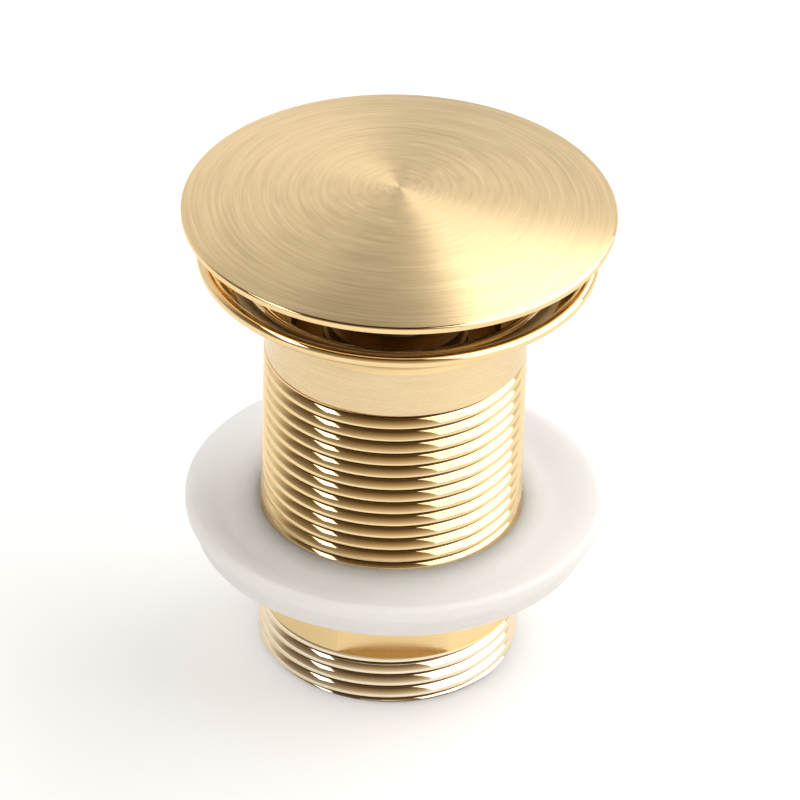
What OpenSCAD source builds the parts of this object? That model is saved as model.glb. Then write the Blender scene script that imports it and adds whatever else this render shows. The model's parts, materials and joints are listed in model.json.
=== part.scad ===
// Click-action pop up basin waste, cap raised, standing on its tail.
// Millimetres. The origin is the centre of the tail's end face and +Z points up to the cap.

/* [Waste body] */
// Crest radius of the shank and tail threads
thread_r = 20.955; // [20.7:0.005:21.2]
// Depth of the shank's thread, drawn as rings
thread_depth = 0.9; // [0.6:0.05:1.2]
// Wall of the tail from its bore to the thread's crest
tail_wall = 3.555; // [3.4:0.005:3.8]
// Depth of the collar under the thread's crest
plain_depth = 0.155; // [0.1:0.005:0.25]
// Depth of the plain band between the two threads, under the crest
band_depth = 0.255; // [0.225:0.005:0.4]
// Wall of the collar and of the flare above it
collar_wall = 1.4; // [1.3:0.05:1.6]
// Height of the collar's end, where the flare starts
flare_z = 62; // [61:0.1:66]
// Height of the plain collar between the shank's thread and the flare
collar_h = 6.2; // [5.5:0.1:8]
// Outer radius of the flange
flange_r = 31.8; // [31.4:0.1:32.4]
// Height of the flange's rim from its seat to its crest
rim_h = 3.1; // [2.9:0.05:3.4]
// Depth of the spanner flats under the thread's crest
flat_depth = 2.255; // [1.4:0.005:2.4]
// Height of the plain band with the spanner flats
band_h = 8; // [6:0.1:10]
// Turn of the spanner flats about the axis, in degrees
flat_turn = 3; // [-20:0.5:20]

/* [Plug] */
// Outer radius of the cap
cap_r = 34.3; // [33.8:0.1:35.5]
// Rise of the cap's dome above its edge
cap_rise = 3.8; // [3.5:0.1:4.3]
// Wall of the cap
cap_wall = 1.6; // [1.4:0.05:1.8]
// Travel of the plug from raised to shut
plug_travel = 5.5; // [4.5:0.1:6]
// Gap left between the cap and the rim when shut
shut_gap = 0.65; // [0.5:0.05:1.2]

/* [Cartridge] */
// Outer radius of the cartridge barrel
barrel_r = 9; // [8.8:0.05:9.3]
// Wall of the cartridge barrel
barrel_wall = 1.4; // [1.3:0.05:1.5]
// Radius of the stem
stem_r = 4; // [3.8:0.05:4.2]
// Radius of the spring's wire
wire_r = 0.6; // [0.5:0.02:0.62]

/* [Basin washer] */
// Outer radius of the washer's upper rim
washer_r = 33.6; // [32.6:0.1:34]
// Height of the washer's underside above the tail's end
washer_z = 21.2; // [19:0.1:24]

/* [Fits] */
// Gap between pieces that move past each other
move_gap = 0.3; // [0.3:0.01:0.4]
// Radial gap of a sliding shaft in its hole
slide_gap = 0.08; // [0.05:0.01:0.1]
// Radial gap between pieces that are fitted into each other
seat_gap = 0.05; // [0.03:0.01:0.08]

/* [Hidden] */
round_steps = 96;
dome_steps = 1440;
pitch = 2.309;
chamfer = 0.6;

// Waste body
tail_bore_r = thread_r - tail_wall;
mouth_h = 20;
mouth_step = 0.2;
mid_bore_r = tail_bore_r - mouth_step;
flat_d = thread_r - flat_depth;
tail_thread_h = 4 * pitch;
relief_w = 0.3;
plain_r = thread_r - plain_depth;
band_r = thread_r - band_depth;
throat_r = plain_r - collar_wall;
lip_w = 2.2;
lip_r = flange_r - lip_w;
flare_r = lip_r - throat_r;
seat_z = flare_z + flare_r - collar_wall;
rim_top_z = seat_z + rim_h;
step_drop = 6;
step_z = flare_z - step_drop;
thread_top_z = flare_z - collar_h;
band_top_z = tail_thread_h + band_h;
shank_low_z = band_top_z + relief_w;
shank_turns = floor((thread_top_z - shank_low_z) / pitch);
crest_w = 0.35;
groove_w = pitch - crest_w;

// Bridge in the throat
bridge_out_r = throat_r - seat_gap;
bridge_lip = 0.6;
bridge_in_r = mid_bore_r - bridge_lip;
bridge_ring_h = 4;
bridge_arm_h = 3;
bridge_arm_w = 3.2;
hub_wall = 2.5;
hub_r = barrel_r + hub_wall;
hub_drop = 1.5;
hub_top_z = step_z + bridge_arm_h;
hub_low_z = step_z - hub_drop;
grip_r = 0.8;
grip_z = step_z + bridge_ring_h / 2;
grip_gap = 0.1;
grip_mid_r = throat_r - grip_gap - grip_r;

// Cartridge, from the hub's top
barrel_bore_r = barrel_r - barrel_wall;
shoulder_w = 1.9;
shoulder_r = barrel_r + shoulder_w;
shoulder_h = 2;
barrel_rise = 4;
barrel_drop = 37;
barrel_top_z = hub_top_z + barrel_rise;
barrel_low_z = hub_top_z - barrel_drop;
barrel_nut_h = 4.5;
nut_margin = 0.5;
barrel_nut_flat = hub_r - nut_margin;
insert_r = barrel_bore_r - seat_gap;
clip_drop = 1.8;
clip_h = 1;
clip_bite = 0.5;
clip_reach = 1.2;
clip_gap_w = 3;
clip_z = barrel_top_z - clip_drop;
clip_out_r = barrel_bore_r + clip_bite;
clip_in_r = barrel_bore_r - clip_reach;
bush_top_z = clip_z - seat_gap;
bush_h = 4;
bush_low_z = bush_top_z - bush_h;
bush_hole_r = stem_r + slide_gap;
wiper_r = 0.85;
wiper_mid_r = stem_r + move_gap + wiper_r;
wiper_pocket_h = 2 * wiper_r + 0.06;
sleeve_top_z = bush_low_z;
sleeve_h = 9.7;
sleeve_low_z = sleeve_top_z - sleeve_h;
sleeve_wall = 1.4;
sleeve_in_r = barrel_bore_r - sleeve_wall;
slot_w = 2.4;
sleeve_ring_h = 2;
slot_h = sleeve_h - sleeve_ring_h;
key_w = slot_w - 2 * move_gap;
spare = 0.1;
key_r = barrel_bore_r - move_gap - spare;
crown_r = sleeve_in_r - move_gap;
crown_low_z = sleeve_low_z;
crown_top_z = sleeve_low_z + slot_h - 2 * move_gap;
cam_top_z = crown_low_z - move_gap;
cam_h = 5.3;
cam_low_z = cam_top_z - cam_h;
spigot_r = 3;
spigot_end = 1.3;
spigot_low_z = cam_low_z + spigot_end;
cam_bore_r = spigot_r + move_gap + spare;
notch_w = 1.6;
notch_h = 1.2;
end_plug_h = 4.5;
end_spigot_h = 3.5;
end_spigot_gap = 0.8;
drain_r = 1.5;
driver_slot_w = 1.4;
driver_slot_h = 1.5;
spring_low_z = barrel_low_z + end_plug_h;
spring_inset = 0.7;
spring_mid_r = crown_r - spring_inset;
spring_turns = 6;
end_spigot_r = spring_mid_r - wire_r - end_spigot_gap;
spring_seat = 0.03;
spring_start_z = spring_low_z + wire_r + spring_seat;
spring_end_z = cam_low_z - wire_r - spring_seat;
half_rise = (spring_end_z - spring_start_z) / (2 * spring_turns);
half_tilt = asin(half_rise / (2 * spring_mid_r));
half_r = spring_mid_r / cos(half_tilt);

// Plug, from the cap's rim
cap_rim_z = rim_top_z + shut_gap + plug_travel;
cap_edge = 0.45;
cap_rim_h = 1.25;
cap_rim_w = 0.7;
cap_edge_z = cap_rim_z + cap_rim_h;
cap_chord_r = cap_r - cap_rim_w;
cap_top_z = cap_edge_z + cap_rise;
dome_r = (cap_chord_r * cap_chord_r + cap_rise * cap_rise) / (2 * cap_rise);
dome_mid_z = cap_top_z - dome_r;
cap_shoulder_r = cap_r - cap_edge;
cap_shoulder_z = dome_mid_z + sqrt(dome_r * dome_r - cap_shoulder_r * cap_shoulder_r);
under_r = dome_r - cap_wall;
boss_r = 7;
boss_flange_r = 10;
boss_flange_rise = 0.95;
boss_flange_z = cap_rim_z + boss_flange_rise;
plate_inset = 5.6;
carrier_plate_r = lip_r - plate_inset;
carrier_plate_h = 1.6;
carrier_h = 5;
skirt_in = 1.95;
skirt_w = 3;
skirt_drop = 3.6;
carrier_spigot_r = throat_r - skirt_in;
skirt_hole_r = carrier_spigot_r - skirt_w;
carrier_spigot_z = boss_flange_z - carrier_h;
clamp_nut_h = 2.6;
clamp_nut_flat = 9.5;
skirt_low_z = carrier_spigot_z - skirt_drop;
boss_proud = 0.2;
boss_low_z = carrier_spigot_z - clamp_nut_h - boss_proud;
boss_hole_r = stem_r + seat_gap;
stem_end_room = 0.3;
stem_top_z = cap_rim_z - seat_gap;
stem_nut_h = 3;
stem_nut_flat = 6.5;
seal_top_z = boss_flange_z - carrier_plate_h;
seal_in_r = carrier_spigot_r + seat_gap;
seal_sag = 0.12;
seal_touch_r = flare_r + move_gap + seal_sag;
seal_low_turn = 133;
seal_edge_turn = 125;
seal_low_r = lip_r + seal_touch_r * cos(seal_low_turn);
seal_low_z = flare_z + seal_touch_r * sin(seal_low_turn) + plug_travel;
seal_edge_r = lip_r + seal_touch_r * cos(seal_edge_turn);
seal_edge_z = flare_z + seal_touch_r * sin(seal_edge_turn) + plug_travel;

// Basin washer
washer_bore_r = thread_r + move_gap;
washer_h = 7;
washer_bead = 0.75;
washer_tier_in = 1.8;
washer_tier_h = 2.7;
washer_edge = 0.5;
washer_groove = 0.4;
washer_groove_h = 1.1;
washer_lip_in = 0.8;
washer_rim_h = 2.1;
washer_rim_w = 6.9;
washer_dish = 2.5;
washer_cone_drop = 0.6;
washer_low_r = washer_r - washer_tier_in;
washer_crease_r = washer_r - washer_rim_w;

gold = [0.83, 0.68, 0.42];
brass = [0.78, 0.62, 0.33];
steel = [0.72, 0.72, 0.72];
black_rubber = [0.12, 0.12, 0.12];
white_plastic = [0.90, 0.90, 0.88];
silicone = [0.94, 0.93, 0.90];

// A plain tube standing on the height low_z
module tube(outer_r, inner_r, low_z, height) {
  translate([0, 0, low_z])
    difference() {
      cylinder(r = outer_r, h = height, $fn = round_steps);
      translate([0, 0, -1])
        cylinder(r = inner_r, h = height + 2, $fn = round_steps);
    }
}

// A hexagon nut with one pair of flats square to X
module hex_nut(flat, hole_r, low_z, height) {
  translate([0, 0, low_z])
    difference() {
      rotate([0, 0, 30])
        cylinder(r = flat / cos(30), h = height, $fn = 6);
      translate([0, 0, -1])
        cylinder(r = hole_r, h = height + 2, $fn = round_steps);
    }
}

// A round rubber ring
module ring(mid_r, section_r, mid_z) {
  translate([0, 0, mid_z])
    rotate_extrude($fn = round_steps)
      translate([mid_r, 0])
        circle(r = section_r, $fn = 48);
}

// Four bars at right angles, from the axis out to bar_r
module four_bars(bar_r, width, low_z, height) {
  for (turn = [0, 90])
    rotate([0, 0, turn])
      translate([-bar_r, -width / 2, low_z])
        cube([2 * bar_r, width, height]);
}

// Groove between two crests of the thread, seen in half section from the crest's line
module thread_groove() {
  polygon([[-thread_depth, 0], [0, groove_w / 2], [1, groove_w / 2], [1, -groove_w / 2], [0, -groove_w / 2]]);
}

// Half section of the waste body: a threaded shank with a concentric flare and a full-round rim
module body_section() {
  difference() {
    union() {
      square([band_r, flare_z]);
      translate([0, thread_top_z])
        square([plain_r, collar_h]);
      square([thread_r, tail_thread_h - relief_w]);
      translate([0, shank_low_z])
        square([thread_r, thread_top_z - shank_low_z]);
      intersection() {
        translate([lip_r, flare_z])
          difference() {
            circle(r = flare_r, $fn = round_steps);
            circle(r = flare_r - collar_wall, $fn = round_steps);
          }
        translate([throat_r, flare_z])
          square([flare_r, flare_r]);
      }
      translate([lip_r, seat_z])
        square([lip_w, rim_h - lip_w / 2]);
      translate([lip_r + lip_w / 2, rim_top_z - lip_w / 2])
        circle(r = lip_w / 2, $fn = round_steps);
    }
    translate([-1, -1])
      square([tail_bore_r + 1, mouth_h + 1]);
    translate([-1, -1])
      square([mid_bore_r + 1, flare_z + 2]);
    translate([-1, step_z])
      square([throat_r + 1, flare_z]);
    for (turn = [0 : shank_turns - 1])
      translate([thread_r, thread_top_z - (turn + 0.5) * pitch])
        thread_groove();
    polygon([[thread_r - chamfer, -0.01], [thread_r + 1, -0.01], [thread_r + 1, chamfer + 1],
      [thread_r, chamfer]]);
    polygon([[tail_bore_r + chamfer, -0.01], [tail_bore_r - 1, -0.01], [tail_bore_r - 1, chamfer + 1],
      [tail_bore_r, chamfer]]);
  }
}

module waste_body() {
  color(gold)
    difference() {
      rotate_extrude($fn = round_steps)
        body_section();
      for (side = [0, 180])
        rotate([0, 0, flat_turn + side])
          translate([-thread_r, -thread_r - 5, tail_thread_h])
            cube([2 * thread_r, thread_r + 5 - flat_d, band_h]);
    }
}

module bridge() {
  color(brass)
    difference() {
      union() {
        tube(bridge_out_r, bridge_in_r, step_z, bridge_ring_h);
        intersection() {
          rotate([0, 0, 45])
            four_bars(bridge_out_r, bridge_arm_w, step_z, bridge_arm_h);
          cylinder(r = bridge_in_r + 0.5, h = barrel_top_z, $fn = round_steps);
        }
        translate([0, 0, hub_low_z])
          cylinder(r = hub_r, h = hub_top_z - hub_low_z, $fn = round_steps);
      }
      translate([0, 0, hub_low_z - 1])
        cylinder(r = barrel_r + seat_gap, h = hub_top_z, $fn = round_steps);
      tube(throat_r + 1, grip_mid_r - grip_r - 0.02, grip_z - grip_r - 0.02, 2 * grip_r + 0.04);
    }
}

module bridge_ring() {
  color(black_rubber)
    ring(grip_mid_r, grip_r, grip_z);
}

module cartridge_barrel() {
  color(brass)
    difference() {
      union() {
        translate([0, 0, barrel_low_z])
          cylinder(r = barrel_r, h = barrel_top_z - barrel_low_z, $fn = round_steps);
        translate([0, 0, hub_top_z])
          cylinder(r = shoulder_r, h = shoulder_h, $fn = round_steps);
      }
      translate([0, 0, barrel_low_z - 1])
        cylinder(r = barrel_bore_r, h = barrel_top_z - barrel_low_z + 2, $fn = round_steps);
      translate([0, 0, clip_z - seat_gap])
        cylinder(r = clip_out_r + seat_gap, h = clip_h + 2 * seat_gap, $fn = round_steps);
    }
}

module barrel_nut() {
  color(brass)
    hex_nut(barrel_nut_flat, barrel_r + seat_gap, hub_low_z - barrel_nut_h, barrel_nut_h);
}

module guide_sleeve() {
  color(white_plastic)
    difference() {
      tube(insert_r, sleeve_in_r, sleeve_low_z, sleeve_h);
      four_bars(insert_r + 1, slot_w, sleeve_low_z - 1, slot_h + 1);
      rotate([0, 0, 45])
        four_bars(insert_r + 1, notch_w, sleeve_low_z - 1, notch_h + 1);
    }
}

module index_cam() {
  color(white_plastic)
    difference() {
      union() {
        translate([0, 0, cam_low_z])
          cylinder(r = crown_r, h = cam_h, $fn = round_steps);
        intersection() {
          four_bars(key_r + 1, key_w, cam_low_z, cam_h);
          translate([0, 0, cam_low_z])
            cylinder(r = key_r, h = cam_h, $fn = round_steps);
        }
      }
      translate([0, 0, cam_low_z - 1])
        cylinder(r = cam_bore_r, h = cam_h + 2, $fn = round_steps);
      rotate([0, 0, 45])
        four_bars(crown_r + 1, notch_w, cam_top_z - notch_h, notch_h + 1);
    }
}

module stem() {
  color(steel)
    union() {
      translate([0, 0, crown_low_z])
        cylinder(r = stem_r, h = stem_top_z - crown_low_z, $fn = round_steps);
      translate([0, 0, crown_low_z])
        cylinder(r = crown_r, h = crown_top_z - crown_low_z, $fn = round_steps);
      intersection() {
        four_bars(key_r + 1, key_w, crown_low_z, crown_top_z - crown_low_z);
        translate([0, 0, crown_low_z])
          cylinder(r = key_r, h = crown_top_z - crown_low_z, $fn = round_steps);
      }
      translate([0, 0, spigot_low_z])
        cylinder(r = spigot_r, h = crown_low_z - spigot_low_z + 1, $fn = round_steps);
    }
}

// One half turn of the spring: a tilted half ring whose ends meet those of its neighbours
module half_turn(index) {
  translate([0, 0, spring_start_z + half_rise * (index + 0.5)])
    rotate([0, 0, 180 * (index % 2)])
      rotate([0, half_tilt, 0])
        rotate_extrude(angle = 180, $fn = round_steps)
          translate([half_r, 0])
            circle(r = wire_r, $fn = 32);
}

module return_spring() {
  color(steel)
    union() {
      for (index = [0 : 2 * spring_turns - 1])
        half_turn(index);
    }
}

module end_plug() {
  color(brass)
    difference() {
      union() {
        translate([0, 0, barrel_low_z])
          cylinder(r = insert_r, h = end_plug_h, $fn = round_steps);
        translate([0, 0, barrel_low_z])
          cylinder(r = end_spigot_r, h = end_plug_h + end_spigot_h, $fn = round_steps);
      }
      translate([0, 0, barrel_low_z - 1])
        cylinder(r = drain_r, h = end_plug_h + end_spigot_h + 2, $fn = round_steps);
      translate([-insert_r - 1, -driver_slot_w / 2, barrel_low_z - 1])
        cube([2 * insert_r + 2, driver_slot_w, driver_slot_h + 1]);
    }
}

module stem_bush() {
  color(white_plastic)
    difference() {
      tube(insert_r, bush_hole_r, bush_low_z, bush_top_z - bush_low_z);
      translate([0, 0, bush_top_z - wiper_pocket_h])
        cylinder(r = wiper_mid_r + wiper_r + 0.03, h = wiper_pocket_h + 1, $fn = round_steps);
    }
}

module wiper_ring() {
  color(black_rubber)
    ring(wiper_mid_r, wiper_r, bush_top_z - wiper_pocket_h / 2);
}

module circlip() {
  color(steel)
    difference() {
      tube(clip_out_r, clip_in_r, clip_z, clip_h);
      translate([0, -clip_gap_w / 2, clip_z - 1])
        cube([clip_out_r + 1, clip_gap_w, clip_h + 2]);
    }
}

module stem_nut() {
  color(steel)
    hex_nut(stem_nut_flat, stem_r + seat_gap, boss_low_z - stem_nut_h, stem_nut_h);
}

// Half section of the cap: a spherical dome with a rounded edge over a spherical hollow
module cap_section() {
  difference() {
    union() {
      intersection() {
        translate([0, dome_mid_z])
          circle(r = dome_r, $fn = dome_steps);
        translate([0, cap_rim_z])
          square([cap_shoulder_r, cap_top_z]);
      }
      translate([0, cap_rim_z])
        square([cap_r, cap_shoulder_z - cap_edge - cap_rim_z]);
      translate([cap_shoulder_r, cap_shoulder_z - cap_edge])
        circle(r = cap_edge, $fn = 48);
    }
    translate([0, dome_mid_z])
      circle(r = under_r, $fn = dome_steps);
  }
}

module cap() {
  color(gold)
    rotate_extrude($fn = round_steps)
      cap_section();
}

// Half section of the boss: its flange lies against the hollow of the cap
module boss_section() {
  difference() {
    intersection() {
      union() {
        translate([0, boss_low_z])
          square([boss_r, cap_top_z - boss_low_z]);
        translate([0, boss_flange_z])
          square([boss_flange_r, cap_top_z - boss_flange_z]);
      }
      translate([0, dome_mid_z])
        circle(r = under_r, $fn = dome_steps);
    }
    translate([-1, boss_low_z - 1])
      square([boss_hole_r + 1, stem_top_z - boss_low_z + 1 + stem_end_room]);
  }
}

module plug_boss() {
  color(brass)
    rotate_extrude($fn = round_steps)
      boss_section();
}

module seal_carrier() {
  color(brass)
    difference() {
      union() {
        translate([0, 0, seal_top_z])
          cylinder(r = carrier_plate_r, h = carrier_plate_h, $fn = round_steps);
        translate([0, 0, skirt_low_z])
          cylinder(r = carrier_spigot_r, h = seal_top_z - skirt_low_z, $fn = round_steps);
      }
      translate([0, 0, skirt_low_z - 1])
        cylinder(r = skirt_hole_r, h = skirt_drop + 1, $fn = round_steps);
      translate([0, 0, carrier_spigot_z - 1])
        cylinder(r = boss_r + seat_gap, h = carrier_h + 2, $fn = round_steps);
    }
}

module plug_seal() {
  color(silicone)
    rotate_extrude($fn = round_steps)
      polygon([[seal_in_r, seal_top_z], [seal_in_r, seal_low_z], [seal_low_r, seal_low_z],
        [seal_edge_r, seal_edge_z], [seal_edge_r, seal_top_z]]);
}

module clamp_nut() {
  color(brass)
    hex_nut(clamp_nut_flat, boss_r + seat_gap, carrier_spigot_z - clamp_nut_h, clamp_nut_h);
}

// Half section of the basin washer: a dished top, a beaded rim and a smaller lower tier
module washer_section() {
  translate([0, washer_z]) {
    polygon([
      [washer_bore_r, 0],
      [washer_low_r - washer_edge, 0],
      [washer_low_r, washer_edge],
      [washer_low_r, washer_tier_h],
      [washer_low_r - washer_groove, washer_tier_h + washer_groove],
      [washer_r - washer_lip_in, washer_tier_h + washer_groove_h],
      [washer_r, washer_h - washer_rim_h],
      [washer_r, washer_h - washer_bead],
      [washer_r - washer_bead, washer_h],
      [washer_crease_r, washer_h - washer_dish],
      [washer_bore_r, washer_h - washer_cone_drop]
    ]);
    translate([washer_r - washer_bead, washer_h - washer_bead])
      circle(r = washer_bead, $fn = 48);
  }
}

module basin_washer() {
  color(silicone)
    rotate_extrude($fn = round_steps)
      washer_section();
}

waste_body();
bridge();
bridge_ring();
cartridge_barrel();
barrel_nut();
guide_sleeve();
index_cam();
stem();
return_spring();
end_plug();
stem_bush();
wiper_ring();
circlip();
stem_nut();
cap();
plug_boss();
seal_carrier();
plug_seal();
clamp_nut();
basin_washer();
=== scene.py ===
import json
import math

import bpy
from mathutils import Matrix, Vector


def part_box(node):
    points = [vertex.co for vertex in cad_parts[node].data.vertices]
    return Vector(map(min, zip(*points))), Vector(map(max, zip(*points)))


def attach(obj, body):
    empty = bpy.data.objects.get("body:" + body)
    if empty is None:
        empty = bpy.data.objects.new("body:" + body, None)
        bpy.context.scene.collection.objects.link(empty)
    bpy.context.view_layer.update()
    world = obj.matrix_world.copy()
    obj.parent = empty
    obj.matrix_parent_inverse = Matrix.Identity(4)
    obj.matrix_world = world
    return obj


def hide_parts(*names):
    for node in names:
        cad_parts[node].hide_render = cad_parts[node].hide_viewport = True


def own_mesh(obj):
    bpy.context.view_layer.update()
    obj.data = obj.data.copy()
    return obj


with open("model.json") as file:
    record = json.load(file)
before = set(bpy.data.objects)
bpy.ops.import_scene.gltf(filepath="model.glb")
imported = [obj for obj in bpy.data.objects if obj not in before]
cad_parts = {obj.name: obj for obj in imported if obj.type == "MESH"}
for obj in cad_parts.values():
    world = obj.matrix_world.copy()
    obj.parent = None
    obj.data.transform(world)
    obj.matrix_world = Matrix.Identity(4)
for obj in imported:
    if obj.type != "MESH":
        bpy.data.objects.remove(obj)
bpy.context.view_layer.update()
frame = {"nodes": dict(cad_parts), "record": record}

bl_info = {
    "name": "Pop up basin waste",
    "version": (1, 0, 0),
    "blender": (4, 5, 0),
    "location": "3D View > Sidebar > Waste",
    "description": "Threaded body, brushed cap, silicone washer and click cartridge of a basin waste",
    "category": "Object",
}

MM = 0.001
PITCH = 2.309 * MM


def crest(node):
    """Outer radius of a CAD node, in metres."""
    low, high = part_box(node)
    return (high.x - low.x) / 2


class WasteSizes(bpy.types.PropertyGroup):
    """Sizes of the visible pieces."""

    thread_r: bpy.props.FloatProperty(
        name="Thread crest", description="Crest radius of the shank and tail threads",
        default=20.955 * MM, unit="LENGTH", precision=6)
    plain_r: bpy.props.FloatProperty(
        name="Collar", description="Radius of the collar under the flare",
        default=20.8 * MM, unit="LENGTH", precision=6)
    band_r: bpy.props.FloatProperty(
        name="Plain band", description="Radius of the band that carries the spanner flats",
        default=20.7 * MM, unit="LENGTH", precision=6)
    pitch: bpy.props.FloatProperty(
        name="Thread pitch", description="Rise of the thread in one turn",
        default=PITCH, unit="LENGTH", precision=6)
    bore_r: bpy.props.FloatProperty(
        name="Tail bore", description="Radius of the bore in the tail's mouth",
        default=17.4 * MM, unit="LENGTH", precision=6)
    mid_bore_r: bpy.props.FloatProperty(
        name="Shank bore", description="Radius of the bore above the tail's mouth",
        default=17.2 * MM, unit="LENGTH", precision=6)
    throat_r: bpy.props.FloatProperty(
        name="Throat", description="Radius of the throat under the flare",
        default=19.4 * MM, unit="LENGTH", precision=6)
    flange_r: bpy.props.FloatProperty(
        name="Flange", description="Outer radius of the flange",
        default=crest("waste_body"), unit="LENGTH", precision=6)
    cap_r: bpy.props.FloatProperty(
        name="Cap", description="Outer radius of the cap",
        default=crest("cap"), unit="LENGTH", precision=6)
    washer_r: bpy.props.FloatProperty(
        name="Washer", description="Outer radius of the basin washer",
        default=crest("basin_washer"), unit="LENGTH", precision=6)
    flat_d: bpy.props.FloatProperty(
        name="Spanner flats", description="Distance of the spanner flats from the axis",
        default=18.7 * MM, unit="LENGTH", precision=6)
    flat_turn: bpy.props.FloatProperty(
        name="Flat turn", description="Turn of the spanner flats about the axis",
        default=math.radians(3), subtype="ANGLE")


class WasteFinish(bpy.types.PropertyGroup):
    """Colours of the finishes."""

    gold: bpy.props.FloatVectorProperty(
        name="Gold plating", description="Colour of the polished plating",
        default=(0.84, 0.63, 0.33), subtype="COLOR", min=0, max=1)
    brushed: bpy.props.FloatVectorProperty(
        name="Brushed gold", description="Colour of the brushed plating",
        default=(0.85, 0.64, 0.35), subtype="COLOR", min=0, max=1)
    satin: bpy.props.FloatVectorProperty(
        name="Satin gold", description="Colour of the brushed collar",
        default=(0.76, 0.595, 0.35), subtype="COLOR", min=0, max=1)
    pale: bpy.props.FloatVectorProperty(
        name="Pale gold", description="Colour of the tail's thread, which is paler than the shank's",
        default=(0.86, 0.73, 0.52), subtype="COLOR", min=0, max=1)
    # Partly painted light: the milled brass is set a little paler than the plating's gold, to make up for
    # the washer's shadow over the flats
    milled: bpy.props.FloatVectorProperty(
        name="Milled brass with painted light", description="Colour of the spanner flats",
        default=(0.88, 0.67, 0.35), subtype="COLOR", min=0, max=1)
    silicone: bpy.props.FloatVectorProperty(
        name="Silicone", description="Colour of the basin washer and the gasket",
        default=(0.93, 0.935, 0.92), subtype="COLOR", min=0, max=1)
    # Painted reflection: a warm tone near the bore that stands in for the brass mirrored in the washer
    core: bpy.props.FloatVectorProperty(
        name="Silicone core", description="Colour of the basin washer close to the brass",
        default=(0.92, 0.87, 0.77), subtype="COLOR", min=0, max=1)
    # Painted shade: the flange's underside is coloured dark brown to stand in for the shade under the
    # flange, which the threads mirror
    seat: bpy.props.FloatVectorProperty(
        name="Turned seat in painted shade", description="Colour of the flange's underside",
        default=(0.30, 0.21, 0.10), subtype="COLOR", min=0, max=1)
    # Painted shade: the grooves between the thread's ridges are coloured near-black to stand in for the
    # shade in them
    root: bpy.props.FloatVectorProperty(
        name="Thread root painted shade", description="Colour of the grooves between the thread's ridges",
        default=(0.10, 0.055, 0.02), subtype="COLOR", min=0, max=1)
    # Painted reflection: the level faces beside the spanner flats are coloured pale to stand in for the
    # bright washer underside that they mirror
    ledge: bpy.props.FloatVectorProperty(
        name="Ledge with painted reflection", description="Colour of the level faces beside the spanner flats",
        default=(0.96, 0.90, 0.78), subtype="COLOR", min=0, max=1)
    # Partly painted shade: the brass pieces inside are coloured a dark brown, darker than brass, to stand
    # in for the shade under the cap
    brass: bpy.props.FloatVectorProperty(
        name="Brass in painted shade", description="Colour of the brass pieces inside",
        default=(0.36, 0.215, 0.08), subtype="COLOR", min=0, max=1)
    steel: bpy.props.FloatVectorProperty(
        name="Steel", description="Colour of the stem, its nut, the spring and the circlip",
        default=(0.62, 0.62, 0.61), subtype="COLOR", min=0, max=1)
    acetal: bpy.props.FloatVectorProperty(
        name="Acetal", description="Colour of the sleeve, cam and bush",
        default=(0.82, 0.82, 0.79), subtype="COLOR", min=0, max=1)
    rubber: bpy.props.FloatVectorProperty(
        name="Rubber", description="Colour of the rubber rings",
        default=(0.025, 0.025, 0.026), subtype="COLOR", min=0, max=1)
    floor: bpy.props.FloatVectorProperty(
        name="Floor", description="Colour of the studio floor",
        default=(0.78, 0.78, 0.78), subtype="COLOR", min=0, max=1)


def sizes():
    """The sizes that are set in the scene."""
    return bpy.context.scene.waste_sizes


def finish():
    """The colours that are set in the scene."""
    return bpy.context.scene.waste_finish


# Materials


def new_material(name):
    """A new material with its node tree and the shader that feeds its output."""
    material = bpy.data.materials.new(name)
    material.use_nodes = True
    tree = material.node_tree
    tree.nodes.clear()
    output = tree.nodes.new("ShaderNodeOutputMaterial")
    shader = tree.nodes.new("ShaderNodeBsdfPrincipled")
    tree.links.new(shader.outputs["BSDF"], output.inputs["Surface"])
    return material, tree, shader


def add(tree, kind, **values):
    """Adds a node, sets its properties, and feeds its inputs from values or from other nodes."""
    node = tree.nodes.new(kind)
    inputs = values.pop("inputs", {})
    for key, value in values.items():
        setattr(node, key, value)
    for key, value in inputs.items():
        if isinstance(value, bpy.types.NodeSocket):
            tree.links.new(value, node.inputs[key])
        else:
            node.inputs[key].default_value = value
    return node


def math_node(tree, operation, first, second=0.0):
    """The output of a Math node on one or two values."""
    return add(tree, "ShaderNodeMath", operation=operation, inputs={0: first, 1: second}).outputs[0]


def around_axis(tree):
    """Radius, angle and height of a point about the waste's axis, from Object coordinates."""
    place = add(tree, "ShaderNodeTexCoord").outputs["Object"]
    split = add(tree, "ShaderNodeSeparateXYZ", inputs={0: place})
    x, y, z = split.outputs[0], split.outputs[1], split.outputs[2]
    radius = math_node(tree, "SQRT", math_node(
        tree, "ADD", math_node(tree, "MULTIPLY", x, x), math_node(tree, "MULTIPLY", y, y)))
    angle = math_node(tree, "ARCTAN2", y, x)
    return radius, angle, z


def streaks(tree, along, angle, lines_per_m, waves, detail):
    """Noise drawn out round the axis, as a brush leaves it on a turning piece."""
    turns = math_node(tree, "MULTIPLY", angle, waves)
    place = add(tree, "ShaderNodeCombineXYZ", inputs={
        0: math_node(tree, "MULTIPLY", along, lines_per_m),
        1: math_node(tree, "SINE", turns), 2: math_node(tree, "COSINE", turns)})
    return add(tree, "ShaderNodeTexNoise", inputs={
        "Vector": place.outputs[0], "Scale": 1.0, "Detail": detail, "Roughness": 0.6}).outputs["Fac"]


def ramp(tree, value, low, high, from_low=0.0, from_high=1.0):
    """A value drawn from one range to another and held at its ends."""
    node = add(tree, "ShaderNodeMapRange", inputs={
        "Value": value, "From Min": from_low, "From Max": from_high, "To Min": low, "To Max": high})
    return node.outputs["Result"]


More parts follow.
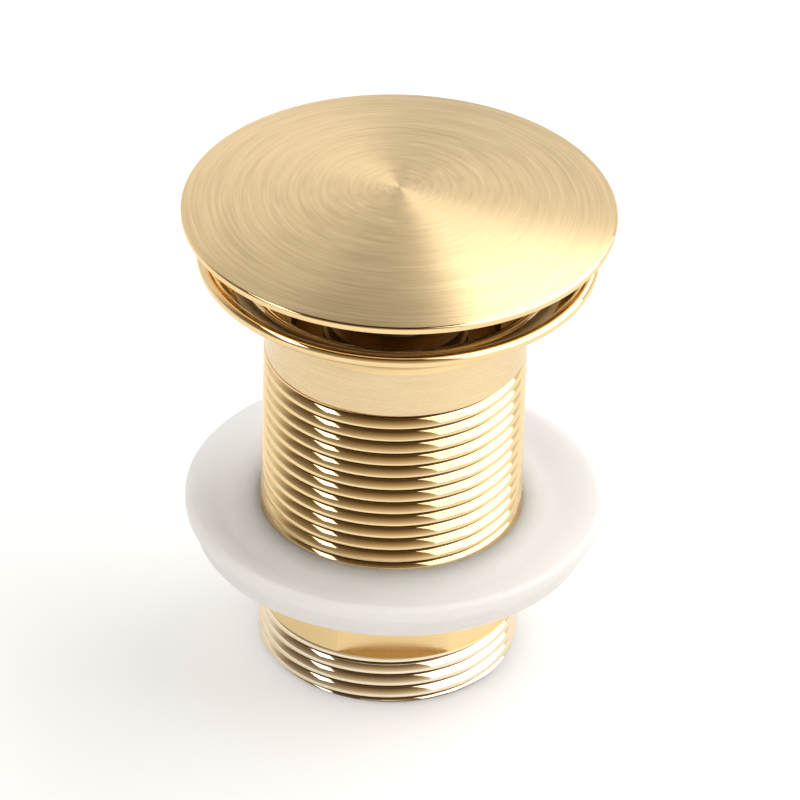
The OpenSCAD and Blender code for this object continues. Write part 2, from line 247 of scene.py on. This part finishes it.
def tint(tree, value, colour, dark, light):
    """A colour that a value moves between a darker and a lighter shade of itself."""
    node = add(tree, "ShaderNodeMix", data_type="RGBA", inputs={"Factor": value})
    node.inputs["A"].default_value = (*[c * dark for c in colour], 1)
    node.inputs["B"].default_value = (*[min(1, c * light) for c in colour], 1)
    return node.outputs["Result"]


def bump(tree, height, distance, strength):
    """A normal that a height pattern tilts."""
    return add(tree, "ShaderNodeBump", inputs={
        "Height": height, "Distance": distance, "Strength": strength}).outputs["Normal"]


# Hairlines, strokes and broad bands of a brushed finish: share, density, waves round the axis, detail
BRUSH_LAYERS = ((0.35, 1.0, 1.0, 2.0), (0.5, 0.37, 2.0, 3.0), (0.15, 0.06, 1.0, 2.0))


def brushed_metal(name, colour, along_height, lines_per_m, rough, anisotropy, contrast):
    """Plating brushed round the axis, in rings on a cap or in bands on a collar."""
    material, tree, shader = new_material(name)
    radius, angle, height = around_axis(tree)
    along = height if along_height else radius
    brushing = 0.0
    for share, density, waves, detail in BRUSH_LAYERS:
        layer = streaks(tree, along, angle, lines_per_m * density, waves, detail)
        brushing = math_node(tree, "ADD", brushing, math_node(tree, "MULTIPLY", layer, share))
    sharp = ramp(tree, brushing, 0.0, 1.0, 0.34, 0.66)
    tree.links.new(tint(tree, sharp, colour, 1.0 - contrast, 1.0 + contrast), shader.inputs["Base Color"])
    tree.links.new(ramp(tree, sharp, rough + 0.05, rough - 0.05), shader.inputs["Roughness"])
    tree.links.new(bump(tree, brushing, distance=0.02 * MM, strength=0.06), shader.inputs["Normal"])
    shader.inputs["Metallic"].default_value = 1.0
    shader.inputs["Anisotropic"].default_value = anisotropy
    shader.inputs["Anisotropic Rotation"].default_value = 0.25
    tangent = add(tree, "ShaderNodeTangent", direction_type="RADIAL", axis="Z")
    tree.links.new(tangent.outputs[0], shader.inputs["Tangent"])
    return material


def polished_metal(name, colour):
    """Bright plating with the faint waviness of polish."""
    rough = 0.07
    material, tree, shader = new_material(name)
    place = add(tree, "ShaderNodeTexCoord").outputs["Object"]
    cloud = add(tree, "ShaderNodeTexNoise", inputs={
        "Vector": place, "Scale": 260.0, "Detail": 3.0, "Roughness": 0.5}).outputs["Fac"]
    grain = add(tree, "ShaderNodeTexNoise", inputs={
        "Vector": place, "Scale": 2600.0, "Detail": 2.0, "Roughness": 0.6}).outputs["Fac"]
    tree.links.new(tint(tree, cloud, colour, 0.96, 1.04), shader.inputs["Base Color"])
    tree.links.new(ramp(tree, cloud, rough * 0.8, rough * 1.25, 0.3, 0.7), shader.inputs["Roughness"])
    tree.links.new(bump(tree, grain, distance=0.01 * MM, strength=0.05), shader.inputs["Normal"])
    shader.inputs["Metallic"].default_value = 1.0
    return material


def grained_metal(name, colour, rough, scale):
    """Milled or turned metal with a fine grain that scatters its shine."""
    material, tree, shader = new_material(name)
    place = add(tree, "ShaderNodeTexCoord").outputs["Object"]
    drawn = add(tree, "ShaderNodeMapping", inputs={"Vector": place, "Scale": (1.0, 1.0, 3.0)})
    grain = add(tree, "ShaderNodeTexNoise", inputs={
        "Vector": drawn.outputs[0], "Scale": scale, "Detail": 5.0, "Roughness": 0.65}).outputs["Fac"]
    tree.links.new(tint(tree, grain, colour, 0.88, 1.1), shader.inputs["Base Color"])
    tree.links.new(ramp(tree, grain, rough - 0.08, rough + 0.08, 0.3, 0.7), shader.inputs["Roughness"])
    tree.links.new(bump(tree, grain, distance=0.03 * MM, strength=0.25), shader.inputs["Normal"])
    shader.inputs["Metallic"].default_value = 1.0
    return material


def soft_silicone(name, colour, core):
    """Milky silicone with a fine moulded haze, warmed towards the bore by a painted reflection of the
    brass.
    """
    core_r, clear_r = 22 * MM, 28 * MM
    material, tree, shader = new_material(name)
    radius = around_axis(tree)[0]
    place = add(tree, "ShaderNodeTexCoord").outputs["Object"]
    cloud = add(tree, "ShaderNodeTexNoise", inputs={
        "Vector": place, "Scale": 90.0, "Detail": 3.0, "Roughness": 0.5}).outputs["Fac"]
    haze = add(tree, "ShaderNodeTexNoise", inputs={
        "Vector": place, "Scale": 1800.0, "Detail": 3.0, "Roughness": 0.6}).outputs["Fac"]
    # Painted reflection: from the bore out to clear_r the colour fades from the warm brass reflection to
    # the silicone's own
    toned = add(tree, "ShaderNodeMix", data_type="RGBA", inputs={
        "Factor": ramp(tree, radius, 0.0, 1.0, core_r, clear_r)})
    toned.inputs["A"].default_value = (*core, 1)
    tree.links.new(tint(tree, cloud, colour, 0.985, 1.01), toned.inputs["B"])
    tree.links.new(toned.outputs["Result"], shader.inputs["Base Color"])
    tree.links.new(ramp(tree, cloud, 0.34, 0.46, 0.3, 0.7), shader.inputs["Roughness"])
    tree.links.new(bump(tree, haze, distance=0.02 * MM, strength=0.12), shader.inputs["Normal"])
    shader.inputs["Subsurface Weight"].default_value = 1.0
    shader.inputs["Subsurface Radius"].default_value = (1.0, 0.95, 0.88)
    shader.inputs["Subsurface Scale"].default_value = 0.016
    shader.inputs["IOR"].default_value = 1.41
    return material


def moulded(name, colour, rough, scale):
    """Moulded plastic or rubber with a fine surface texture."""
    material, tree, shader = new_material(name)
    place = add(tree, "ShaderNodeTexCoord").outputs["Object"]
    grain = add(tree, "ShaderNodeTexNoise", inputs={
        "Vector": place, "Scale": scale, "Detail": 4.0, "Roughness": 0.6}).outputs["Fac"]
    tree.links.new(tint(tree, grain, colour, 0.9, 1.08), shader.inputs["Base Color"])
    tree.links.new(ramp(tree, grain, rough - 0.08, rough + 0.08, 0.3, 0.7), shader.inputs["Roughness"])
    tree.links.new(bump(tree, grain, distance=0.04 * MM, strength=0.2), shader.inputs["Normal"])
    return material


# Modelling helpers


def start_point(name):
    """An object with one selected vertex at the origin, in edit mode."""
    bpy.ops.object.select_all(action="DESELECT")
    bpy.ops.mesh.primitive_plane_add(size=0.01, location=(0, 0, 0))
    piece = bpy.context.active_object
    piece.name = name
    piece.data.name = name
    bpy.ops.object.mode_set(mode="EDIT")
    bpy.ops.mesh.select_mode(type="VERT")
    bpy.ops.mesh.select_all(action="SELECT")
    bpy.ops.mesh.merge(type="CENTER")
    return piece


def draw_section(name, points, closed):
    """Draws a half section in the XZ plane by extruding one vertex from point to point."""
    piece = start_point(name)
    here = Vector((0, 0, 0))
    for index, (radius, height) in enumerate(points):
        there = Vector((radius, 0, height))
        if index == 0:
            bpy.ops.transform.translate(value=there - here)
        else:
            bpy.ops.mesh.extrude_vertices_move(TRANSFORM_OT_translate={"value": there - here})
        here = there
    if closed:
        bpy.ops.mesh.select_all(action="SELECT")
        bpy.ops.mesh.edge_face_add()
        bpy.ops.mesh.delete(type="ONLY_FACE")
    bpy.ops.object.mode_set(mode="OBJECT")
    return piece


def turn(piece, steps, rise=0.0, turns=1):
    """Turns a section about the axis with an applied Screw modifier."""
    screw = piece.modifiers.new("turn", "SCREW")
    screw.axis = "Z"
    screw.angle = 2 * math.pi
    screw.screw_offset = rise
    screw.iterations = turns
    screw.steps = steps
    screw.render_steps = steps
    screw.use_merge_vertices = True
    screw.merge_threshold = 1e-6
    screw.use_normal_calculate = True
    bpy.context.view_layer.objects.active = piece
    bpy.ops.object.modifier_apply(modifier=screw.name)


def weld(piece, distance=2e-6):
    """Merges doubled vertices and turns the faces outwards."""
    bpy.context.view_layer.objects.active = piece
    bpy.ops.object.mode_set(mode="EDIT")
    bpy.ops.mesh.select_all(action="SELECT")
    bpy.ops.mesh.remove_doubles(threshold=distance)
    bpy.ops.mesh.normals_make_consistent(inside=False)
    bpy.ops.object.mode_set(mode="OBJECT")


def cut(piece, point, normal):
    """Cuts a closed piece by a plane, drops the side the normal points to, and closes the cut."""
    bpy.context.view_layer.objects.active = piece
    bpy.ops.object.mode_set(mode="EDIT")
    bpy.ops.mesh.select_all(action="SELECT")
    bpy.ops.mesh.bisect(plane_co=point, plane_no=normal, use_fill=True, clear_outer=True, threshold=1e-7)
    bpy.ops.object.mode_set(mode="OBJECT")


def join(name, pieces):
    """Joins pieces into the first of them."""
    bpy.ops.object.select_all(action="DESELECT")
    for piece in pieces:
        piece.select_set(True)
    bpy.context.view_layer.objects.active = pieces[0]
    bpy.ops.object.join()
    pieces[0].name = name
    pieces[0].data.name = name
    return pieces[0]


def smooth(piece, degrees):
    """Shades a piece smooth, with sharp edges where faces meet at more than an angle."""
    bpy.ops.object.select_all(action="DESELECT")
    piece.select_set(True)
    bpy.context.view_layer.objects.active = piece
    bpy.ops.object.shade_smooth_by_angle(angle=math.radians(degrees))


def arc(mid, radius, start, stop, count):
    """Points of an arc in the half section, angles in degrees."""
    points = []
    for index in range(count + 1):
        turned = math.radians(start + (stop - start) * index / count)
        points.append((mid[0] + radius * math.cos(turned), mid[1] + radius * math.sin(turned)))
    return points


def rounded(corners, count=5):
    """A closed section whose corners (r, z, fillet radius) are rounded by arcs."""
    points = []
    total = len(corners)
    for index in range(total):
        before = Vector(corners[index - 1][:2])
        here = Vector(corners[index][:2])
        after = Vector(corners[(index + 1) % total][:2])
        radius = corners[index][2]
        if radius <= 0:
            points.append(tuple(here))
            continue
        to_before = (before - here).normalized()
        to_after = (after - here).normalized()
        half = to_before.angle(to_after) / 2
        reach = radius / math.tan(half)
        middle = here + (to_before + to_after).normalized() * (radius / math.sin(half))
        first = here + to_before * reach - middle
        last = here + to_after * reach - middle
        for step in range(count + 1):
            share = step / count
            ray = (first * math.sin((1 - share) * (math.pi - 2 * half))
                   + last * math.sin(share * (math.pi - 2 * half)))
            points.append(tuple(middle + ray.normalized() * radius))
    return points


def ring_piece(name, section, steps):
    """A closed piece turned from a closed half section."""
    piece = draw_section(name, section, True)
    turn(piece, steps)
    weld(piece)
    return piece


def paint(piece, finishes, choose):
    """Gives each face the finish that a rule on its radius, height and normal names."""
    names = list(finishes)
    for name in names:
        piece.data.materials.append(finishes[name])
    for face in piece.data.polygons:
        centre = face.center
        chosen = choose(math.hypot(centre.x, centre.y), centre.z, face.normal)
        face.material_index = names.index(chosen)


# Levels of the body, in metres, as in the solids
TAIL_TOP = 4 * PITCH
BAND_TOP = TAIL_TOP + 8 * MM
THREAD_TOP = 55.8 * MM
FLARE = 62 * MM
RIM_TOP = 73.9 * MM
STEP = 56 * MM

# Radius of the rolled rim, and faces round the threads
BEAD = 1.1 * MM
THREAD_STEPS = 160


def thread_section(crest_r, pitch):
    """One pitch of the polished thread: a straight lower flank, a tight crest and a rounded upper flank."""
    tight = 0.06 * MM
    under, joint, top = math.radians(56), math.radians(10), math.radians(56)
    fixed = tight * (math.sin(joint) + math.sin(under)) - tight * (
        math.cos(joint) - math.cos(under)) / math.tan(under)
    share = (math.sin(top) - math.sin(joint)) + (math.cos(joint) - math.cos(top)) / math.tan(under)
    flank = (pitch - fixed) / share
    middle = crest_r - tight
    points = arc((middle, 0.0), tight, -math.degrees(under), math.degrees(joint), 5)
    flank_mid = (middle + (tight - flank) * math.cos(joint), (tight - flank) * math.sin(joint))
    points += arc(flank_mid, flank, math.degrees(joint), math.degrees(top), 11)[1:]
    return [(points[-1][0], points[-1][1] - pitch)] + points


def thread_sleeve(name, crest_r, pitch, low, high, inner_r, steps):
    """A threaded sleeve between two heights: a helical skin, cut flat and closed, with its bore."""
    turns = math.ceil((high - low) / pitch) + 3
    skin = draw_section(name, thread_section(crest_r, pitch), False)
    turn(skin, steps, pitch, turns)
    skin.data.transform(Matrix.Translation((0, 0, low - pitch)))
    weld(skin)
    bore = draw_section(name + "_bore", [(inner_r, low - 3 * pitch), (inner_r, high + 4 * pitch)], False)
    turn(bore, steps)
    weld(bore)
    bpy.context.view_layer.objects.active = bore
    bpy.ops.object.mode_set(mode="EDIT")
    bpy.ops.mesh.select_all(action="SELECT")
    bpy.ops.mesh.flip_normals()
    bpy.ops.object.mode_set(mode="OBJECT")
    sleeve = join(name, [skin, bore])
    cut(sleeve, (0, 0, high), (0, 0, 1))
    cut(sleeve, (0, 0, low), (0, 0, -1))
    return sleeve


def chamfered_tail(size):
    """The tail's thread, drawn in towards its lower end."""
    chamfer = 1.1 * MM
    widening = 0.9
    least_wall = 0.1 * MM
    tail = thread_sleeve("tail", size.thread_r, size.pitch, 0.0, TAIL_TOP, size.bore_r, THREAD_STEPS)
    for point in tail.data.vertices:
        reach = math.hypot(point.co.x, point.co.y)
        limit = size.thread_r - chamfer + widening * point.co.z
        if reach > max(limit, size.bore_r + least_wall):
            point.co.x *= limit / reach
            point.co.y *= limit / reach
    return tail


def flatted_band(size):
    """The plain band with a spanner flat on either side."""
    band = ring_piece("band", [
        (size.bore_r, TAIL_TOP), (size.band_r, TAIL_TOP),
        (size.band_r, BAND_TOP), (size.bore_r, BAND_TOP)], THREAD_STEPS)
    for side in (0, math.pi):
        normal = Vector((math.sin(size.flat_turn + side), -math.cos(size.flat_turn + side), 0))
        cut(band, normal * size.flat_d, normal)
    return band


def flared_collar(size):
    """The collar, the quarter-round flare and the rolled rim, in one wall."""
    lip_r = size.flange_r - 2 * BEAD
    wide = lip_r - size.throat_r
    wall = size.plain_r - size.throat_r
    bevel = 0.12 * MM
    lip_rise = 0.15 * MM
    section = [(size.plain_r, THREAD_TOP + bevel)]
    section += arc((lip_r, FLARE), wide - wall, 180, 90, 24)
    section += arc((size.flange_r - BEAD, RIM_TOP - BEAD), BEAD, -60, 180, 30)
    section += [(lip_r, FLARE + wide + lip_rise)]
    section += arc((lip_r, FLARE), wide, 90, 180, 28)
    section += [(size.throat_r, STEP), (size.mid_bore_r, STEP), (size.mid_bore_r, THREAD_TOP),
                (size.plain_r - bevel, THREAD_TOP)]
    return ring_piece("collar", section, steps=224)


class WASTE_OT_body(bpy.types.Operator):
    """Models the threaded body: tail, band with spanner flats, shank, collar, flare and rim."""

    bl_idname = "waste.body"
    bl_label = "Threaded body"

    def execute(self, context):
        size = sizes()
        tail = chamfered_tail(size)
        shank = thread_sleeve(
            "shank", size.thread_r, size.pitch, BAND_TOP, THREAD_TOP, size.mid_bore_r, THREAD_STEPS)
        band = flatted_band(size)
        collar = flared_collar(size)
        for part in (tail, shank, band, collar):
            weld(part)
        body = join("threaded_body", [collar, band, shank, tail])
        finishes = {
            "polished": polished_metal("polished_gold", finish().gold),
            "satin": brushed_metal(
                "satin_collar", finish().satin, along_height=True, lines_per_m=7000.0,
                rough=0.28, anisotropy=0.7, contrast=0.05),
            # The spanner flats' colour is milled brass, raised a little as painted light
            "milled": grained_metal("milled_flats_painted_light", finish().milled, rough=0.42, scale=2200.0),
            "inside": grained_metal("turned_inside", finish().gold, rough=0.36, scale=900.0),
            # The flange's underside has a turned grain; its dark colour is painted shade
            "seat": grained_metal("turned_seat_painted_shade", finish().seat, rough=0.46, scale=1200.0),
            # The thread's grooves get the near-black root colour, which is painted shade
            "root": grained_metal("thread_root_painted_shade", finish().root, rough=0.38, scale=1600.0),
            # The ledge's pale colour is a painted reflection of the washer's underside
            "ledge": grained_metal("ledge_painted_reflection", finish().ledge, rough=0.5, scale=2200.0),
            "pale": polished_metal("pale_gold", finish().pale)}
        satin_top = FLARE + 1.6 * MM
        satin_from_r = size.throat_r + 0.7 * MM
        inside_to_r = size.bore_r + 0.05 * MM
        thread_from_r = size.bore_r + 0.1 * MM
        # Upward shares of the normals of upright, level and downward faces, and of the bright ridges
        upright, level, downward = 0.1, 0.99, -0.5
        ridge_low, ridge_high = -0.4, 0.79

        def choose(radius, height, normal):
            if radius < inside_to_r and height < STEP:
                return "inside"
            if TAIL_TOP < height < BAND_TOP and abs(normal.z) < upright:
                return "milled"
            if THREAD_TOP < height < satin_top and radius > satin_from_r:
                return "satin"
            # The flange's underside gets the dark seat colour, which is painted shade
            if height > FLARE and normal.z < downward and radius < size.flange_r - BEAD:
                return "seat"
            # Faces of the thread that point down or steeply up get the near-black root colour, painted
            # shade; level faces get the pale ledge colour, a painted reflection
            if height < THREAD_TOP and radius > thread_from_r and not ridge_low < normal.z < ridge_high:
                return "ledge" if normal.z > level else "root"
            return "pale" if height < TAIL_TOP else "polished"

        paint(body, finishes, choose)
        smooth(body, degrees=40)
        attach(body, "waste")
        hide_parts("waste_body")
        return {"FINISHED"}


class WASTE_OT_cap(bpy.types.Operator):
    """Models the domed cap with its rounded edge and hollow underside."""

    bl_idname = "waste.cap"
    bl_label = "Brushed cap"

    def execute(self, context):
        size = sizes()
        low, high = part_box("cap")
        chord = size.cap_r - 0.7 * MM
        rise = 3.8 * MM
        wall = 1.6 * MM
        edge = 0.45 * MM
        foot = 0.2 * MM
        top_rings, under_rings = 40, 12
        dome = (chord * chord + rise * rise) / (2 * rise)
        middle = high.z - dome
        edge_r = size.cap_r - edge
        edge_z = middle + math.sqrt(dome * dome - edge_r * edge_r)
        under = dome - wall
        under_r = math.sqrt(under * under - (low.z - middle) ** 2)
        section = []
        for index in range(top_rings):
            radius = edge_r * index / top_rings
            section.append((radius, middle + math.sqrt(dome * dome - radius * radius)))
        lean = math.degrees(math.asin(edge_r / dome))
        section += arc((edge_r, edge_z - edge), edge, 90 - lean, 0, 8)
        section += arc((size.cap_r - foot, low.z + foot), foot, 0, -90, 4)
        section += [(under_r, low.z)]
        for index in range(1, under_rings + 1):
            radius = under_r * (under_rings - index) / under_rings
            section.append((radius, middle + math.sqrt(under * under - radius * radius)))
        cap = draw_section("brushed_cap", section, False)
        turn(cap, steps=256)
        weld(cap)
        finishes = {
            "brushed": brushed_metal(
                "brushed_gold_cap", finish().brushed, along_height=False, lines_per_m=4200.0,
                rough=0.31, anisotropy=0.8, contrast=0.16),
            "polished": polished_metal("polished_gold_rim", finish().gold)}
        upward = 0.9

        def choose(radius, height, normal):
            return "brushed" if normal.z > upward and radius < edge_r else "polished"

        paint(cap, finishes, choose)
        smooth(cap, degrees=35)
        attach(cap, "plug")
        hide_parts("cap")
        return {"FINISHED"}


class WASTE_OT_washer(bpy.types.Operator):
    """Models the silicone washer: dished top, rounded rim, groove and lower tier."""

    bl_idname = "waste.washer"
    bl_label = "Silicone washer"

    def execute(self, context):
        size = sizes()
        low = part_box("basin_washer")[0]
        outer = size.washer_r
        bore = size.thread_r + 0.3 * MM
        tier = outer - 1.8 * MM
        dish = outer - 6.9 * MM
        corners = [
            (bore, 0.0, 0.3), (tier, 0.0, 0.8), (tier - 0.1 * MM, 2.6, 1.4),
            (outer, 4.2, 1.2), (outer, 7.0, 0.9), (dish, 4.6, 5.0), (bore, 6.2, 0.4)]
        section = rounded([(r, low.z + z * MM, fillet * MM) for r, z, fillet in corners], count=9)
        washer = ring_piece("silicone_washer", section, steps=192)
        held_r = bore + 2 * MM
        push = 0.55 * MM
        for point in washer.data.vertices:
            reach = math.hypot(point.co.x, point.co.y)
            give = min(1.0, max(0.0, (reach - held_r) / (outer - held_r)))
            point.co.x += push * give * give
        silicone = soft_silicone("milky_silicone", finish().silicone, finish().core)
        paint(washer, {"silicone": silicone}, lambda *place: "silicone")
        smooth(washer, degrees=60)
        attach(washer, "washer")
        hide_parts("basin_washer")
        return {"FINISHED"}


class WASTE_OT_cartridge(bpy.types.Operator):
    """Gives the pieces of the click cartridge and of the plug their finishes."""

    bl_idname = "waste.cartridge"
    bl_label = "Cartridge finishes"

    def execute(self, context):
        finishes = {
            # The inner brass pieces take the dark brass colour, which is partly painted shade
            "raw_brass": grained_metal("brass_painted_shade", finish().brass, rough=0.42, scale=1500.0),
            "steel": grained_metal("bright_steel", finish().steel, rough=0.28, scale=1800.0),
            "white_plastic": moulded("white_acetal", finish().acetal, rough=0.42, scale=1400.0),
            "black_rubber": moulded("black_rubber", finish().rubber, rough=0.6, scale=1600.0),
            "silicone": soft_silicone("gasket_silicone", finish().silicone, finish().silicone)}
        for row in frame["record"]["subparts"]:
            chosen = finishes.get(row["material_slot"])
            if chosen is None:
                continue
            node = frame["nodes"][row["node"]]
            node.data.materials.clear()
            node.data.materials.append(chosen)
        return {"FINISHED"}


class WASTE_OT_spring(bpy.types.Operator):
    """Makes the return spring a smoothed piece of its own, with its own mesh, in the waste's body."""

    bl_idname = "waste.spring"
    bl_label = "Return spring"

    def execute(self, context):
        node = frame["nodes"]["return_spring"]
        spring = bpy.data.objects.new("coil_spring", node.data.copy())
        context.scene.collection.objects.link(spring)
        spring.matrix_world = node.matrix_world
        bpy.ops.object.select_all(action="DESELECT")
        weld(spring)
        smooth(spring, degrees=40)
        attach(spring, "waste")
        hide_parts("return_spring")
        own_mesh(spring)
        return {"FINISHED"}


class WASTE_OT_stage(bpy.types.Operator):
    """Sets up the floor, the studio lights, the surroundings and the camera."""

    bl_idname = "waste.stage"
    bl_label = "Studio"

    def floor(self):
        """A white floor that takes the shadow and still shows white to the camera and in the metal."""
        drop = 0.02 * MM
        glow_level = 0.30
        bpy.ops.object.select_all(action="DESELECT")
        bpy.ops.mesh.primitive_plane_add(size=8, location=(0, 0, -drop))
        floor = bpy.context.active_object
        floor.name = "studio_floor"
        material, tree, shader = new_material("studio_floor")
        shader.inputs["Base Color"].default_value = (*finish().floor, 1)
        shader.inputs["Roughness"].default_value = 0.9
        shader.inputs["Specular IOR Level"].default_value = 0.0
        output = next(node for node in tree.nodes if node.type == "OUTPUT_MATERIAL")
        path = add(tree, "ShaderNodeLightPath")
        seen = math_node(tree, "MAXIMUM", path.outputs["Is Camera Ray"], math_node(
            tree, "MAXIMUM", path.outputs["Is Glossy Ray"], path.outputs["Is Transmission Ray"]))
        glow = add(tree, "ShaderNodeEmission", inputs={
            "Color": (1, 1, 1, 1), "Strength": math_node(tree, "MULTIPLY", seen, glow_level)})
        both = add(tree, "ShaderNodeAddShader", inputs={0: shader.outputs[0], 1: glow.outputs[0]})
        tree.links.new(both.outputs[0], output.inputs["Surface"])
        floor.data.materials.append(material)

    def lamp(self, name, place, outward, along, wide, long, level, mirrored=True, cast=True):
        """A soft light panel, whose level sets how bright it looks in the metal."""
        data = bpy.data.lights.new(name, "AREA")
        data.shape = "RECTANGLE"
        data.size = wide
        data.size_y = long
        data.energy = level * math.pi * wide * long
        lamp = bpy.data.objects.new(name, data)
        bpy.context.scene.collection.objects.link(lamp)
        back = Vector(outward).normalized()
        across = Vector(along).cross(back).normalized()
        turned = Matrix((across, back.cross(across), back)).transposed().to_4x4()
        lamp.matrix_world = Matrix.Translation(place) @ turned
        lamp.visible_glossy = mirrored
        lamp.visible_diffuse = cast

    def lamps(self):
        """Two panels that light the object, a fill, and two panels that only the metal shows."""
        upright = (0.0, 0.0, 1.0)
        self.lamp("panel_right", place=(0.554, 0.145, 0.668), outward=(0.618, 0.166, 0.770),
                  along=(-0.259, 0.966, 0.0), wide=0.85, long=1.2, level=2.3)
        self.lamp("panel_side", place=(0.95, -0.03, 0.24), outward=(1.0, 0.0, 0.25),
                  along=upright, wide=1.0, long=0.5, level=2.2, cast=False)
        self.lamp("panel_front", place=(0.667, -0.56, 0.63), outward=(0.635, -0.533, 0.559),
                  along=upright, wide=0.56, long=1.3, level=2.0, cast=False)
        self.lamp("fill_left", place=(-0.62, -0.74, 0.80), outward=(-0.62, -0.74, 0.76),
                  along=upright, wide=1.0, long=1.0, level=1.6, mirrored=False)
        self.lamp("panel_left", place=(-0.64, -0.23, 0.67), outward=(-0.665, -0.239, 0.708),
                  along=(-0.165, -0.593, -0.367), wide=0.22, long=0.72, level=3.4)

    def camera(self):
        """The camera, where the photograph's outlines place it, leaning a little to one side."""
        lift = math.radians(33.883)
        lean = math.radians(1.721)
        reach = 1.201
        aim = Vector((0.989 * MM, 0, 45.05 * MM))
        picture_pixels, focal_pixels = 800, 7541.19
        backward = Vector((0, -math.cos(lift), math.sin(lift)))
        level = Vector((1, 0, 0))
        upright = backward.cross(level)
        right = level * math.cos(lean) + upright * math.sin(lean)
        up = upright * math.cos(lean) - level * math.sin(lean)
        data = bpy.data.cameras.new("photo_camera")
        data.sensor_width = 36.0
        data.lens = data.sensor_width * focal_pixels / picture_pixels
        data.clip_start = 0.05
        data.clip_end = 50.0
        camera = bpy.data.objects.new("photo_camera", data)
        bpy.context.scene.collection.objects.link(camera)
        turned = Matrix((right, up, backward)).transposed().to_4x4()
        camera.matrix_world = Matrix.Translation(aim + backward * reach) @ turned
        return camera

    def surroundings(self):
        """A room that is dark and warm above the camera, paler to the horizon and bright behind."""
        world = bpy.data.worlds.new("studio")
        world.use_nodes = True
        tree = world.node_tree
        place = add(tree, "ShaderNodeTexCoord").outputs["Generated"]
        split = add(tree, "ShaderNodeSeparateXYZ", inputs={0: place})
        x, y, z = split.outputs[0], split.outputs[1], split.outputs[2]
        darker_left = ramp(tree, x, 0.5, 1.0, -0.9, -0.2)
        front = math_node(tree, "MULTIPLY", ramp(tree, z, 0.80, 0.02, 0.0, 0.86), darker_left)
        behind = ramp(tree, z, 0.88, 0.42, 0.55, 0.97)
        from_behind = ramp(tree, y, 0.0, 1.0, 0.10, 0.50)
        level = add(tree, "ShaderNodeMix", data_type="FLOAT", inputs={0: from_behind, 2: front, 3: behind})
        near_horizon = ramp(tree, z, 1.0, 0.0, 0.05, 0.40)
        white_share = math_node(tree, "MAXIMUM", from_behind, near_horizon)
        warmth = add(tree, "ShaderNodeMix", data_type="RGBA", inputs={"Factor": white_share})
        warmth.inputs["A"].default_value = (1.0, 0.72, 0.42, 1)
        warmth.inputs["B"].default_value = (1, 1, 1, 1)
        background = tree.nodes["Background"]
        tree.links.new(level.outputs[0], background.inputs["Strength"])
        tree.links.new(warmth.outputs["Result"], background.inputs["Color"])
        return world

    def execute(self, context):
        self.floor()
        self.lamps()
        context.scene.world = self.surroundings()
        context.scene.view_settings.view_transform = "Standard"
        context.scene.camera = self.camera()
        return {"FINISHED"}


class WASTE_PT_panel(bpy.types.Panel):
    """Lists the pieces of the waste and their sizes and colours."""

    bl_label = "Basin waste"
    bl_idname = "WASTE_PT_panel"
    bl_space_type = "VIEW_3D"
    bl_region_type = "UI"
    bl_category = "Waste"

    def draw(self, context):
        layout = self.layout
        for step in STEPS:
            layout.operator(step.bl_idname)
        for group in (context.scene.waste_sizes, context.scene.waste_finish):
            for key in group.bl_rna.properties.keys():
                if key not in ("rna_type", "name"):
                    layout.prop(group, key)


STEPS = (
    WASTE_OT_body, WASTE_OT_cap, WASTE_OT_washer, WASTE_OT_cartridge, WASTE_OT_spring, WASTE_OT_stage)
CLASSES = (WasteSizes, WasteFinish, *STEPS, WASTE_PT_panel)


def register():
    for cls in CLASSES:
        bpy.utils.register_class(cls)
    bpy.types.Scene.waste_sizes = bpy.props.PointerProperty(type=WasteSizes)
    bpy.types.Scene.waste_finish = bpy.props.PointerProperty(type=WasteFinish)


def unregister():
    del bpy.types.Scene.waste_finish
    del bpy.types.Scene.waste_sizes
    for cls in reversed(CLASSES):
        bpy.utils.unregister_class(cls)


def main():
    register()
    bpy.ops.waste.body()
    bpy.ops.waste.cap()
    bpy.ops.waste.washer()
    bpy.ops.waste.cartridge()
    bpy.ops.waste.spring()
    bpy.ops.waste.stage()


if __name__ == "__main__":
    main()
